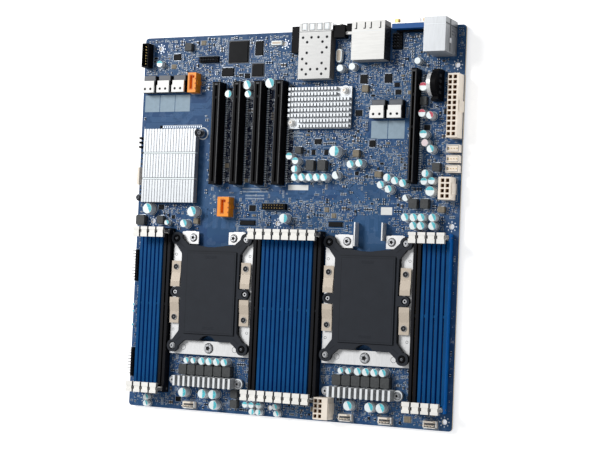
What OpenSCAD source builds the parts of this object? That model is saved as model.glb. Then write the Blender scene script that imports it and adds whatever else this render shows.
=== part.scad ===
// Dual-socket server motherboard, lying flat with its parts on top.
// Every module is drawn from the board's front left corner: x runs to the right, y towards the
// rear edge that holds the ports, and z = 0 is the board's upper face. on_board() then moves it
// to the part's own origin, which is under the middle of the whole board.

/* [Board] */
// Width of the circuit board
board_w = 305; // [304.5:0.1:306]
// Depth of the circuit board, front to rear
board_d = 330; // [329.5:0.1:331]
// Thickness of the circuit board
board_t = 2; // [1.6:0.1:2.4]
// Radius of the board's corners
corner_r = 3; // [1:0.5:5]
// Diameter of a mounting hole
mount_hole_d = 3.96; // [3.5:0.01:4.2]
// How far the rearmost port stands out past the rear edge
rear_reach = 6; // [5:0.5:7]

/* [Memory slots] */
// Distance between neighbouring memory slots
slot_pitch = 8.15; // [8:0.05:8.3]
// Width of a memory slot
slot_w = 6.5; // [6:0.1:6.8]
// Height of a memory slot
slot_h = 8.4; // [7.5:0.1:9]
// Height of the slot's end towers, which hold the latch pins
tower_h = 9.5; // [9:0.1:9.6]
// Distance between the two latch pins of a slot
latch_span = 138.2; // [137:0.1:139]
// Height of the latch's top above the board
latch_top = 22; // [20:0.5:24]
// Radius of a latch's pin
latch_pin_r = 1; // [0.8:0.05:1.2]

/* [Processor sockets] */
// Distance between the two processor sockets
cpu_pitch = 147.3; // [146:0.1:148]
// Thickness of the steel plate under each socket
backplate_t = 2.6; // [2:0.1:3]
// Half the width between a socket's cooler studs
stud_x = 34.3; // [34:0.1:34.6]
// Half the depth between a socket's cooler studs
stud_y = 47; // [46.5:0.1:47.5]
// Radius of a cooler stud's thread
stud_r = 2; // [1.8:0.1:2.1]
// Height of the dust cover's raised top
cover_top = 9.8; // [9.5:0.1:11.5]

/* [Expansion slots] */
// Distance between neighbouring expansion slots
expansion_pitch = 20.32; // [20:0.01:21]
// Height of an expansion slot
expansion_h = 11.2; // [10:0.1:12]

/* [Heatsinks] */
// Number of fins on the chipset heatsink
chipset_fins = 19; // [14:1:20]
// Height of the chipset heatsink
chipset_top = 8; // [6:0.5:10]
// Height of the supply heatsinks
fin_top = 14; // [12:0.5:16]
// Height of the pin heatsink
pin_top = 7; // [6:0.5:9]

/* [Ports] */
// Wall thickness of the sheet metal cages
sheet_t = 0.6; // [0.5:0.05:0.8]
// Height of the cage for two optical modules
sfp_h = 10; // [10:0.1:10.5]
// Height of the network port pair
lan_h = 13.5; // [13.2:0.1:14]
// Height of the network port over two USB ports
stack_h = 28; // [27.5:0.1:29]

/* [Hidden] */
$fn = 40;
gap = 0.01;
board_top = backplate_t + board_t;
whole_d = board_d + rear_reach;

cpu_centres = [[81.2, 102.8], [81.2 + cpu_pitch, 102.8]];
slot_mid_y = 86.4;
left_bank = 12.5;
middle_bank = 126.2;
right_bank = 272.6;
blue_slots = concat(
    [for (i = [0:2]) left_bank + i * slot_pitch],
    [for (i = [1:6]) middle_bank + i * slot_pitch],
    [for (i = [1:3]) right_bank + i * slot_pitch]);
black_slots = [left_bank + 3 * slot_pitch, middle_bank, middle_bank + 7 * slot_pitch, right_bank];
all_slots = concat(
    [for (i = [0:3]) left_bank + i * slot_pitch],
    [for (i = [0:7]) middle_bank + i * slot_pitch],
    [for (i = [0:3]) right_bank + i * slot_pitch]);
latch_pin_z = 3.2;
latch_foot_r = 2.2;
latch_gap = 4.4;
tower_d = 7.1;

mount_holes = [
    [16.51, 7.42], [140.97, 7.42], [298.45, 7.42],
    [16.51, 164.9], [140.97, 164.9], [298.45, 164.9],
    [16.51, 319.84], [140.97, 319.84], [298.45, 296.98]];
chipset_pins = [[63.3, 243], [3.2, 185.6]];
network_pins = [[152.2, 250.8], [201, 277.6]];

// Capacitors as [x, y, radius, height], region by region
rear_caps = [
    [19, 305.5, 3, 6], [196, 296.5, 3, 6], [207, 297.5, 3, 6], [265.5, 300.5, 2.8, 6],
    [91.5, 276.5, 3.3, 8.5], [111, 276, 3.2, 8.5], [109.5, 284, 4, 8.5], [131.6, 285, 4.3, 8.5],
    [272.3, 278.7, 3.6, 8.5], [272, 256.9, 3.2, 8.5], [279, 255.1, 3.2, 8.5]];
middle_caps = [
    [153, 222, 3, 8.5], [159, 218, 3, 8.5], [158.5, 211, 3, 8.5], [195, 226, 4.5, 9],
    [210, 215, 3.3, 8.5], [218, 216, 3.3, 8.5], [196, 206, 3.4, 6], [243.5, 204, 3.3, 8.5],
    [250.5, 201.5, 3.3, 8.5], [257.5, 199.5, 3.3, 8.5], [238, 198, 3.2, 8.5], [245, 194.5, 3.2, 8.5],
    [273.9, 239.6, 3.3, 8.5], [275.5, 232.5, 3, 8.5], [280.5, 227.5, 3.2, 8.5], [276.8, 207.5, 3.1, 8.5],
    [276, 201, 3, 8.5], [282.5, 201.5, 3, 8.5], [281.5, 193, 4, 8.5], [259.5, 187.5, 2.8, 6]];
lower_caps = [
    [260.5, 171.5, 3.3, 8.5], [268, 171.5, 3.3, 8.5], [274.7, 171.5, 3.3, 8.5], [284.5, 171.5, 3.3, 8.5],
    [268, 164.7, 3.3, 8.5], [274.7, 164.7, 3.3, 8.5], [284.5, 164.7, 3.3, 8.5], [15, 175.6, 4.6, 9],
    [60.5, 173.5, 4.5, 9], [52.5, 163, 3.5, 8.5], [33.5, 163.6, 2.3, 5.5], [150, 168.9, 4, 8.5]];
front_caps = [
    [21, 8.9, 2.6, 6.5], [21, 3.4, 2.6, 6.5], [120, 8.9, 2.6, 6.5], [126, 8.9, 2.6, 6.5],
    [133, 8.9, 2.6, 6.5], [126.5, 3.4, 2.6, 6.5], [133, 3.4, 2.6, 6.5], [148.5, 8.9, 2.6, 6.5],
    [150, 3.4, 2.6, 6.5], [59, 15.5, 4, 8.5], [78.5, 15.5, 4, 8.5], [89, 15.5, 4, 8.5],
    [90, 6.5, 4, 8.5], [216.5, 15, 4, 8.5], [235.5, 15, 4, 8.5], [245.5, 15, 4, 8.5]];
supply_caps = [[-19.7, 2.6], [-12.7, 2.6], [-4.4, 3.2], [2.8, 3.2], [10.3, 3.2], [17.8, 3.2]];
row_caps = [for (i = [0:4]) [159 + i * 6.8, 204, 3.3, 8.5]];
fixed_caps = concat(rear_caps, middle_caps, lower_caps, front_caps, row_caps);

// Power chokes as [x, y, width, depth, height], from their centres
chokes_at = [
    [6.2, 165.5, 9, 9, 6], [26, 166, 7, 7, 5], [62, 165.5, 5, 5, 3.5], [159.5, 227.5, 6, 6, 5],
    [171.5, 214.5, 7.5, 9, 6], [182.5, 214.5, 7.5, 9, 6], [213, 224.5, 6, 6, 4.5],
    [233.5, 207, 6, 5, 4.5], [266, 183, 7.5, 8, 6], [276, 183, 7, 8, 6], [290, 178.5, 6, 5, 4],
    [284.5, 213, 7, 7, 5], [271.5, 267.5, 6, 7, 5], [218.5, 279, 6, 6, 3.5], [47, 320, 7, 7, 5],
    [108, 17, 7, 7, 5], [108, 8.5, 7, 7, 5]];
supply_choke_w = 8.1;
supply_choke_pitch = 8.7;

// Chips as [x, y, width, depth, height], from their centres
chips_at = [
    [96, 314.5, 20, 20, 1.8], [116, 317, 9, 14, 1.4], [216, 287.5, 8, 9, 1.3], [238, 287.5, 8, 9, 1.3],
    [112, 165, 16, 5.5, 1.6], [195.5, 165, 14, 5.5, 1.6], [86, 297, 13, 9, 1.5],
    [115.5, 298, 12, 12, 1.5], [226, 233, 7, 7, 1.2], [34, 312, 9, 7, 1.3], [246, 282, 6, 5, 1.2],
    [176, 235, 8, 6, 1.2], [290, 259, 5, 6, 1.2], [172, 226, 5, 6, 1], [184, 226, 5, 6, 1]];

module on_board() translate([-board_w / 2, -whole_d / 2, board_top]) children();

// A block between two corners, standing on z0
module block(x0, y0, x1, y1, h, z0 = 0) translate([x0, y0, z0]) cube([x1 - x0, y1 - y0, h]);

// A block around a centre
module pad(x, y, w, d, h, z0 = 0) block(x - w / 2, y - d / 2, x + w / 2, y + d / 2, h, z0);

module post(x, y, r, h, z0 = 0) translate([x, y, z0]) cylinder(r = r, h = h);

module rounded(w, d, r) {
    translate([r, 0]) square([w - 2 * r, d]);
    translate([0, r]) square([w, d - 2 * r]);
    for (x = [r, w - r], y = [r, d - r]) translate([x, y]) circle(r = r);
}

module at_cpus() for (c = cpu_centres) translate([c[0], c[1], 0]) children();

module circuit_board() color("steelblue") on_board() translate([0, 0, -board_t])
    difference() {
        linear_extrude(board_t) rounded(board_w, board_d, corner_r);
        for (p = mount_holes) post(p[0], p[1], mount_hole_d / 2, board_t + 2, -1);
    }

// Steel plate that stiffens the board under a socket
module cpu_backplates() color("dimgray") on_board() at_cpus()
    translate([-40, -54.5, -board_top]) linear_extrude(backplate_t) rounded(80, 109, 4);

// Steel frame that carries the cooler studs, open at the rear between its two tabs
frame_z = 2.6;
frame_t = 1.6;
module frame_outline() difference() {
    union() {
        for (s = [-1, 1]) scale([s, 1]) {
            translate([29.4, -54]) square([9.8, 105]);
            translate([15, 42.5]) square([16.2, 10.8]);
            polygon([[0, -54], [39, -54], [24, -42], [0, -42]]);
        }
    }
    for (x = [-20, 20]) translate([x, 48]) circle(r = 1.9);
    translate([0, -48]) circle(r = 2.2);
}
module socket_frames() color("whitesmoke") on_board() {
    at_cpus() {
        translate([0, 0, frame_z]) linear_extrude(frame_t) frame_outline();
        for (x = [-36, 36], y = [-36, 0, 36]) pad(x, y, 5, 8, frame_z);
        for (x = [-24, 24]) pad(x, 52.6, 10, 2.4, frame_z);
        pad(0, -53.2, 60, 1.4, frame_z);
    }
    // Upright guides behind the right-hand socket only
    translate([cpu_centres[1][0], cpu_centres[1][1], 0]) {
        pad(-12.3, 54, 1, 20, 8);
        pad(12.3, 56.5, 1, 15, 8);
    }
}

// Round notch in the front of a socket and of its dust cover
module notch(h) post(0, -47, 10, 2 * h, -h);

// Plastic socket with a sunken field for the processor's contacts
well_w = 50;
well_d = 70;
module cpu_sockets() color("dimgray") on_board() at_cpus() difference() {
    pad(0, 0, 57, 80, 4.6);
    pad(0, 0, well_w, well_d, 4, 1.4);
    notch(6);
}

// Dust cover that lifts off the socket: a shell with a raised top and an ear round each stud
cover_z = 4.9;
module cover_outline() {
    difference() {
        union() {
            translate([-28.7, -41.5]) square([57.4, 83]);
            for (x = [-34.5, 0, 34.5]) translate([x, 0]) circle(r = 4.2);
            translate([-34.5, -4.2]) square([69, 8.4]);
            for (x = [-stud_x, stud_x], y = [-stud_y, stud_y]) {
                translate([x, y]) circle(r = 5.4);
                hull() {
                    translate([x, y]) circle(r = 3.6, $fn = 24);
                    translate([x * 0.72, y * 0.78]) circle(r = 5, $fn = 24);
                }
            }
        }
        polygon([[-17, 41.6], [0, 39.4], [17, 41.6]]);
    }
}
module dust_cover() difference() {
    union() {
        translate([0, 0, cover_z]) linear_extrude(3.6) cover_outline();
        translate([1.3, 0, cover_z]) pad(0, 0, 49.4, 71.4, cover_top - cover_z);
    }
    notch(20);
    pad(0, 0, well_w, well_d - 2, 3.6, 4.5);
    pad(1.3, 0, 45, 66, cover_top - 1.4 - 4.5, 4.5);
    for (x = [-stud_x, stud_x], y = [-stud_y, stud_y]) post(x, y, stud_r + 1.3, 10, 0);
    for (x = [-34.5, 34.5]) post(x, 0, 2.6, 10, 0);
}
module cpu_cover_left() color("darkslategray") on_board()
    translate([cpu_centres[0][0], cpu_centres[0][1], 0]) dust_cover();
module cpu_cover_right() color("darkslategray") on_board()
    translate([cpu_centres[1][0], cpu_centres[1][1], 0]) dust_cover();

// Bent leaf spring beside a socket, drawn for the rear right place and mirrored to the others
spring_z = 6.4;
module leaf_spring() difference() {
    translate([30, 0, spring_z]) rotate([90, 0, 90]) linear_extrude(9) polygon([
        [4.8, 1.2], [9, 1.2], [17, 0], [27.2, 0],
        [27.2, 0.6], [17.1, 0.6], [9.1, 1.8], [4.8, 1.8]]);
    post(34.5, 22, 1.7, 10, 0);
}
module leaf_springs() color("wheat") on_board() at_cpus()
    for (a = [0, 1], b = [0, 1]) mirror([a, 0, 0]) mirror([0, b, 0]) leaf_spring();

// Studs, screws, rivets and push pins, each a separate solid
spring_seat = frame_z + frame_t;
module cooler_stud() {
    cylinder(r = 3.2, h = 4.5 - spring_seat + 0.2);
    cylinder(r = stud_r, h = 9.6 - spring_seat);
}
module push_pin() {
    cylinder(r = 1.6, h = 5);
    translate([0, 0, 4]) cylinder(r = 3.1, h = 1);
    translate([0, 0, 4]) cylinder(r = 2.2, h = 3);
}
module fasteners() color("silver") on_board() {
    at_cpus() {
        for (x = [-stud_x, stud_x], y = [-stud_y, stud_y])
            translate([x, y, spring_seat]) cooler_stud();
        for (x = [-34.5, 34.5]) {
            post(x, 0, 2, 3.2, spring_seat);
            for (y = [-22, 22]) {
                post(x, y, 2.6, spring_z - spring_seat, spring_seat);
                post(x, y, 1.5, 3.4, spring_seat);
                post(x, y, 2.6, 0.8, 7.05);
            }
        }
        for (x = [-20, 20]) {
            post(x, 48, 1.7, spring_seat);
            post(x, 48, 3, 1.4, spring_seat);
        }
        post(0, -48, 2, spring_seat);
        post(0, -48, 3.9, 1.8, spring_seat);
    }
    for (p = concat(chipset_pins, network_pins)) translate([p[0], p[1], 0]) push_pin();
    for (c = cpu_centres) translate([c[0], vrm_y, 0]) for (x = vrm_screws) {
        post(x, 0, 1.5, 6);
        post(x, 0, 2.6, 1.6, 4.8);
    }
}

// Memory slot: grooved body with a tower at each end that a latch turns in
module tower_cut() {
    block(-latch_gap / 2, -3.3, latch_gap / 2, 4, tower_h, 0.5);
    translate([0, 0, latch_pin_z]) rotate([0, 90, 0])
        cylinder(r = latch_pin_r + 0.05, h = slot_w + 2, center = true);
}
module at_ends() {
    translate([0, latch_span / 2, 0]) children();
    translate([0, -latch_span / 2, 0]) mirror([0, 1, 0]) children();
}
module memory_slot() {
    groove_end = latch_span / 2 - 3;
    difference() {
        union() {
            pad(0, 0, slot_w, latch_span - 5, slot_h);
            at_ends() block(-slot_w / 2, tower_d - 11, slot_w / 2, 3.1, tower_h);
        }
        block(-0.75, -groove_end, 0.75, groove_end, slot_h, 1.6);
        at_ends() tower_cut();
    }
    pad(0, 5.3, 1.5, 2.2, slot_h - 2.4, 1.6);
}
module slots(places) on_board() for (x = places) translate([x, slot_mid_y, 0]) memory_slot();
module dimm_slots_blue() color("royalblue") slots(blue_slots);
module dimm_slots_black() color("#202020") slots(black_slots);

// Latch, drawn around its pin with the slot behind it and the open side at +y
module latch() {
    head_z = latch_top - latch_pin_z - 3.5;
    rotate([0, 90, 0]) cylinder(r = latch_pin_r, h = 6.1, center = true);
    rotate([0, 90, 0]) cylinder(r = latch_foot_r, h = 4, center = true);
    block(-2, -1.5, 2, 1.2, 8);
    block(-3.2, -1.2, 3.2, 1.2, head_z - 7.4 + 1, 7.4);
    block(-3.3, -5.4, 3.3, -1.9, 3.5, head_z);
    block(-3.3, 0.9, 3.3, 3.4, 3.5, head_z);
    block(-2.7, -2, 2.7, 1, 3.1, head_z);
}
module latch_rear(i) color("ivory") on_board()
    translate([all_slots[i - 1], slot_mid_y + latch_span / 2, latch_pin_z]) latch();
module latch_front(i) color("ivory") on_board()
    translate([all_slots[i - 1], slot_mid_y - latch_span / 2, latch_pin_z])
        mirror([0, 1, 0]) latch();

// Expansion slots, and the longer riser slot near the right edge
module expansion_slot(len, w, keys) {
    difference() {
        union() {
            pad(0, 0, w, len, expansion_h);
            pad(0, 0, w + 0.8, len - 4, 2);
        }
        pad(0, 0, 1.8, len - 5, expansion_h, 3);
    }
    for (y = keys) pad(0, y, 2, 2, expansion_h - 3.4, 3 - gap);
}
module pcie_slots() color("#262626") on_board() {
    for (i = [0:3]) translate([80.9 + i * expansion_pitch, 242.25, 0])
        expansion_slot(89.5, 7.5, [31.2]);
    translate([265, 246.5, 0]) expansion_slot(94.5, 4.8, [25.5, -1, -25.5]);
}

// Finned block over the chipset, its fins cut through by two cross channels
module chipset_heatsink() color("gainsboro") on_board() {
    x0 = 7.6;
    y0 = 181.4;
    w = 53.2;
    d = 65.4;
    fin_t = 1.9;
    difference() {
        union() {
            block(x0, y0, x0 + w, y0 + d, 1.8, 1.6);
            for (p = chipset_pins) {
                post(p[0], p[1], 3.1, 1.8, 1.6);
                pad(p[0] < x0 ? x0 : x0 + w, p[1], 6, 6.2, 1.8, 1.6);
            }
            for (i = [0:chipset_fins - 1])
                block(x0 + i * (w - fin_t) / (chipset_fins - 1), y0,
                      x0 + i * (w - fin_t) / (chipset_fins - 1) + fin_t, y0 + d, chipset_top - 3, 3);
        }
        for (y = [202.5, 225.3]) pad(x0 + w / 2, y, w + 2, 1.8, chipset_top, 3.4);
        for (p = chipset_pins) {
            post(p[0], p[1], 1.9, 10, 0);
            post(p[0], p[1], 4, 20, 3.4);
        }
    }
    // The chip that the heatsink cools
    pad(34, 213, 24, 24, 1.7);
}

// Block of square pins, with a boss in two corners for its push pins
module network_heatsink() color("gainsboro") on_board() {
    x0 = 148.6;
    y0 = 245.8;
    columns = 19;
    rows = 8;
    step_x = 3.05;
    step_y = 4.55;
    difference() {
        union() {
            block(x0, y0, x0 + 58.2, y0 + 35.5, 1.8, 1.6);
            for (p = network_pins) post(p[0], p[1], 4.4, 2.2, 1.6);
        }
        for (p = network_pins) post(p[0], p[1], 1.9, 10, 0);
    }
    for (i = [0:columns - 1], j = [0:rows - 1]) {
        centre = [x0 + 1.7 + i * step_x, y0 + 1.9 + j * step_y];
        if (min([for (p = network_pins) norm(centre - p)]) > 6)
            pad(centre[0], centre[1], 1.9, 2.4, pin_top - 3, 3);
    }
    pad(178, 263.5, 20, 20, 1.7);
}

// Finned bar over each socket's supply transistors, with a screw ear at each end
vrm_y = 25.8;
vrm_fins = 12;
vrm_screws = [-34, 30.2];
module vrm_heatsinks() color("gainsboro") on_board() for (c = cpu_centres)
    translate([c[0], vrm_y, 0]) {
        block(-30, -4.4, 27.4, 4.4, 2.2, 1.6);
        for (i = [0:vrm_fins - 1]) pad(-28 + i * 4.95, 0, 2, 8.8, fin_top - 3, 3);
        difference() {
            union() {
                block(vrm_screws[0], -3.6, -29.5, 3.6, 3, 1.6);
                post(vrm_screws[0], 0, 3.6, 3, 1.6);
                post(vrm_screws[1], 0, 4.4, 3, 1.6);
            }
            for (x = vrm_screws) post(x, 0, 1.7, 6, 0);
        }
        pad(-1, 0, 50, 6, 1.6);
    }

// Sheet metal cage for two optical modules, open at the rear
sfp_x = 158.8;
sfp_w = 29.6;
sfp_y = 287.5;
sfp_d = 47.5;
vent_r = 1;
module sfp_cage() color("lightgray") on_board() translate([sfp_x, sfp_y, 0]) difference() {
    block(0, 0, sfp_w, sfp_d, sfp_h);
    for (x = [sheet_t, (sfp_w + sheet_t) / 2])
        block(x, 2, x + (sfp_w - 3 * sheet_t) / 2, sfp_d + 1, sfp_h - 2 * sheet_t, sheet_t);
    for (x = [3.6, 11.5, 18, 25.9], y = [8, 35.2]) post(x, y, vent_r, 3, sfp_h - 2);
    for (x = [7.6, 21.9], y = [3.9, 13, 22.1, 31.2]) post(x, y, vent_r, 3, sfp_h - 2);
    post(3.6, 17, vent_r, 3, sfp_h - 2);
    post(25.9, 26.2, vent_r, 3, sfp_h - 2);
}

// A port's mouth, cut in from the rear face
module rear_pocket(x, z, w, h, d, y) block(x - w / 2, y - d, x + w / 2, y + 1, h, z);

lan_x = 209;
lan_w = 29.6;
lan_y = 301.6;
lan_rear = 334.2;
module lan_ports() color("lightgray") on_board() difference() {
    block(lan_x, lan_y, lan_x + lan_w, lan_rear, lan_h);
    for (x = [7.6, 22]) rear_pocket(lan_x + x, 2, 12, 8.6, 16, lan_rear);
}

stack_x = 278.5;
stack_w = 18.6;
stack_y = 304;
stack_rear = 332;
module lan_usb_stack() color("lightgray") on_board() difference() {
    block(stack_x, stack_y, stack_x + stack_w, stack_rear, stack_h);
    rear_pocket(stack_x + stack_w / 2, 17.4, 12, 8.6, 16, stack_rear);
    for (z = [1.6, 9.2]) rear_pocket(stack_x + stack_w / 2, z, 13.2, 5.4, 16, stack_rear);
}

// Video port: plastic body, metal shell and two threaded posts
vga_x = 259.4;
module vga_port() color("royalblue") on_board() {
    block(vga_x - 15.4, 325.2, vga_x + 15.4, 331.4, 12.5);
    block(vga_x - 8.4, 331, vga_x + 8.4, 336, 8.4, 2);
    for (x = [-12.5, 12.5]) translate([vga_x + x, 331, 6.2]) rotate([-90, 0, 0])
        cylinder(r = 2.7, h = 4.6, $fn = 6);
}

// Grid of square contact holes seen from the top of a power connector
module power_plug(x, y, w, rows, h, shift) {
    hole = 3;
    pitch = 4.2;
    difference() {
        pad(x, y, w, rows * pitch + 1.4, h);
        for (i = [-0.5, 0.5], j = [0:rows - 1])
            pad(x + shift + i * pitch, y + (j - (rows - 1) / 2) * pitch, hole, hole, h, 4);
    }
    pad(x + w / 2, y, 1.2, 9, h - 2);
}
// Small keyed header with its back wall at +y or at -x
module small_header(x, y, w, d, h) {
    pad(x, y, w, d, 3);
    if (w > d) pad(x, y + d / 2 - 0.6, w - 4, 1.2, h);
    else pad(x - w / 2 + 0.6, y, 1.2, d - 4, h);
    pins = 4;
    for (i = [0:pins - 1]) {
        s = (i - (pins - 1) / 2) * 2.54;
        if (w > d) pad(x + s, y - 0.6, 0.7, 0.7, h + 1);
        else pad(x + 0.6, y + s, 0.7, 0.7, h + 1);
    }
}
module power_connectors() color("ivory") on_board() {
    power_plug(299.8, 262.3, 9.2, 12, 13, -0.6);
    power_plug(295.5, 195.2, 10.6, 4, 13, 0.4);
    power_plug(193.9, 11.2, 13, 4, 13, -2.4);
    for (x = [63.5, 212.5, 248, 287.2]) small_header(x, 4.6, 11.4, 6, 8);
    for (y = [228, 219.5, 211.5]) pad(299, y, 11, 6, 6);
}

// Upright holder that grips the coin cell from below and from its right side
cell_x = 279.4;
cell_y = 279.8;
cell_z = 11.6;
cell_r = 10;
module battery_holder() color("#1c1c1c") on_board() difference() {
    union() {
        block(279, 267, 287.5, 292.6, 7);
        block(283, 267.5, 287.5, 292, 14);
        translate([283, cell_y, cell_z]) rotate([0, 90, 0]) cylinder(r = 10.6, h = 4.5);
    }
    translate([cell_x, cell_y, cell_z]) rotate([0, 90, 0]) cylinder(r = cell_r + 0.2, h = 3.7);
    block(cell_x, cell_y - cell_r - 0.2, cell_x + 3.7, cell_y + cell_r + 0.2, 30, cell_z);
}
module coin_cell() color("silver") on_board()
    translate([cell_x + 0.25, cell_y, cell_z]) rotate([0, 90, 0]) cylinder(r = cell_r, h = 3.2, $fn = 64);

// Identity button: a plunger in a black housing, pressed from the rear
button_x = 195;
button_r = 1.7;
button_z = 4.4;
module id_button() color("white") on_board() translate([button_x, 329.2, button_z])
    rotate([-90, 0, 0]) cylinder(r = button_r, h = 5);

// Black plastic: housings and pin headers
module black_headers() color("#181818") on_board() {
    difference() {
        block(190, 322.2, 200, 332.8, 8);
        translate([button_x, 328.2, button_z]) rotate([-90, 0, 0])
            cylinder(r = button_r + 0.1, h = 8);
    }
    difference() {
        block(1.9, 302.5, 8.3, 324, 9);
        block(2.6, 303.2, 7.6, 323.3, 9, 2.5);
    }
    block(150.8, 310.5, 157.6, 333, 8);
    block(201.4, 327.6, 206, 333.8, 7);
    block(57.6, 305.8, 76.6, 311.2, 2.6);
    block(241.8, 311.5, 249.8, 324.6, 2.6);
    block(127, 176.4, 149.2, 181.6, 4.2);
    block(1.2, 111, 3.8, 139, 2.6);
    block(1.2, 26.2, 3.8, 51.6, 2.6);
}

// Side-entry storage connectors: metal shell in front, plastic behind, mouth towards the front
sas_places = [[3, 279.5], [18.4, 279.5], [33.8, 279.5], [225.6, 253.5], [241.2, 253.5]];
module sas_connectors() color("whitesmoke") on_board() for (p = sas_places)
    translate([p[0], p[1], 0]) difference() {
        union() {
            block(0, 0, 12.4, 6.4, 8.4);
            block(0.4, 6, 12, 11, 7.6);
            block(0.6, 10.6, 12.2, 15.4, 5.6);
        }
        block(1.2, -1, 11.2, 10, 5.4, 1.4);
        for (x = [3.4, 9]) pad(x, 3.2, 1.8, 1.8, 5, 5);
    }

// Upright storage connectors with an L-shaped slot
module sata_connector(w, d) difference() {
    block(0, 0, w, d, 9);
    block(w / 2 - 2, 3, w / 2 + 0.4, d - 2.4, 9, 2);
    block(w / 2 - 2, d - 4.8, w / 2 + 2.4, d - 2.4, 9, 2);
}
module sata_connectors() color("darkorange") on_board() {
    translate([50.6, 278.8, 0]) sata_connector(8.2, 17.4);
    translate([86, 169.6, 0]) sata_connector(11.2, 17);
}

module capacitors() color("paleturquoise") on_board() {
    for (c = fixed_caps) post(c[0], c[1], c[2], c[3]);
    for (cpu = cpu_centres, c = supply_caps) post(cpu[0] + c[0], 43.6, c[1], 8.5);
}

module chokes() color("#4a4a4c") on_board() {
    for (c = chokes_at) pad(c[0], c[1], c[2], c[3], c[4]);
    for (cpu = cpu_centres, i = [0:5])
        pad(cpu[0] - 24.2 + i * supply_choke_pitch, 35.5, supply_choke_w, 9, 6.5);
}

module chips() color("#2b2b2e") on_board() for (c = chips_at) pad(c[0], c[1], c[2], c[3], c[4]);

circuit_board();
cpu_backplates();
socket_frames();
cpu_sockets();
cpu_cover_left();
cpu_cover_right();
leaf_springs();
fasteners();
dimm_slots_blue();
dimm_slots_black();
pcie_slots();
chipset_heatsink();
network_heatsink();
vrm_heatsinks();
sfp_cage();
lan_ports();
vga_port();
lan_usb_stack();
power_connectors();
battery_holder();
coin_cell();
id_button();
black_headers();
sas_connectors();
sata_connectors();
capacitors();
chokes();
chips();
for (i = [1:len(all_slots)]) {
    latch_rear(i);
    latch_front(i);
}
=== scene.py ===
# Looks of the dual-socket server motherboard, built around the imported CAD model.
import math
import random

import bpy
import numpy as np
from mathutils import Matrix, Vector


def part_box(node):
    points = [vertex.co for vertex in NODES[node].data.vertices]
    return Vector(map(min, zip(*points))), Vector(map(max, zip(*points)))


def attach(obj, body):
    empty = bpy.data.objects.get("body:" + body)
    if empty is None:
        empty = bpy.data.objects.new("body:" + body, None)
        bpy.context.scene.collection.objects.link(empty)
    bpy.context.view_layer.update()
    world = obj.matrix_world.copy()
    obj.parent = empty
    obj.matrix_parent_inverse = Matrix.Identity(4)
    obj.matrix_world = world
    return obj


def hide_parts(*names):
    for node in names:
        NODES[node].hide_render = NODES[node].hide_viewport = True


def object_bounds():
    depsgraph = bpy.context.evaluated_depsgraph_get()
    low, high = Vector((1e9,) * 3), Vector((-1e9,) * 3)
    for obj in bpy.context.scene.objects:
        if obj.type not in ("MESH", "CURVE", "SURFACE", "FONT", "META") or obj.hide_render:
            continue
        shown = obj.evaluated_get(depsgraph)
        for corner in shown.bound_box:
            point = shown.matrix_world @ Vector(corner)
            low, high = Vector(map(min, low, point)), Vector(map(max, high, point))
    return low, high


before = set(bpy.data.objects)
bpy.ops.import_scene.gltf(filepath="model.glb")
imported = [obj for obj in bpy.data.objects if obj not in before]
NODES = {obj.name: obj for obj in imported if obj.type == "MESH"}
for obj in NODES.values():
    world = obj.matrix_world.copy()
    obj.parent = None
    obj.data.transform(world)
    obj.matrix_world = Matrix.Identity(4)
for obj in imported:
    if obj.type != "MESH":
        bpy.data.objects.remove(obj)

CAD_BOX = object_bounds()
MM = 0.001
BOARD_LO, BOARD_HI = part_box("circuit_board")
BOARD_W = (BOARD_HI.x - BOARD_LO.x) / MM
BOARD_D = (BOARD_HI.y - BOARD_LO.y) / MM
BOARD_T = (BOARD_HI.z - BOARD_LO.z) / MM
SKIN = 0.03  # how far ink, pads and traces stand proud of the mask, in mm
SEAT = 4.2  # upper face of the sockets' frames, where their screws and studs sit, in mm
LEG_PITCH = 0.65  # between the legs of a chip, in mm


def to_row(x, y, z):
    """Board millimetres, from the front left corner of the upper face, to row metres."""
    return Vector((BOARD_LO.x + x * MM, BOARD_LO.y + y * MM, BOARD_HI.z + z * MM))


def to_board(point):
    """Row metres to board millimetres."""
    return ((point.x - BOARD_LO.x) / MM, (point.y - BOARD_LO.y) / MM, (point.z - BOARD_HI.z) / MM)


# ---- camera, floor and light

def add_camera():
    data = bpy.data.cameras.new("camera")
    data.lens = 86.4
    data.sensor_width = 36
    data.clip_start = 0.05
    camera = bpy.data.objects.new("camera", data)
    camera.location = to_row(692.6, 105.9, 1102.6)
    camera.rotation_euler = [math.radians(a) for a in (3.875, 25.553, 2.686)]
    bpy.context.scene.collection.objects.link(camera)
    bpy.context.scene.camera = camera


def add_light(name, place, aim, size, power, colour=(1, 1, 1)):
    data = bpy.data.lights.new(name, "AREA")
    data.shape = "SQUARE"
    data.size = size
    data.energy = power
    data.color = colour
    lamp = bpy.data.objects.new(name, data)
    lamp.location = place
    lamp.rotation_euler = (Vector(aim) - Vector(place)).to_track_quat("-Z", "Y").to_euler()
    bpy.context.scene.collection.objects.link(lamp)


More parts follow.
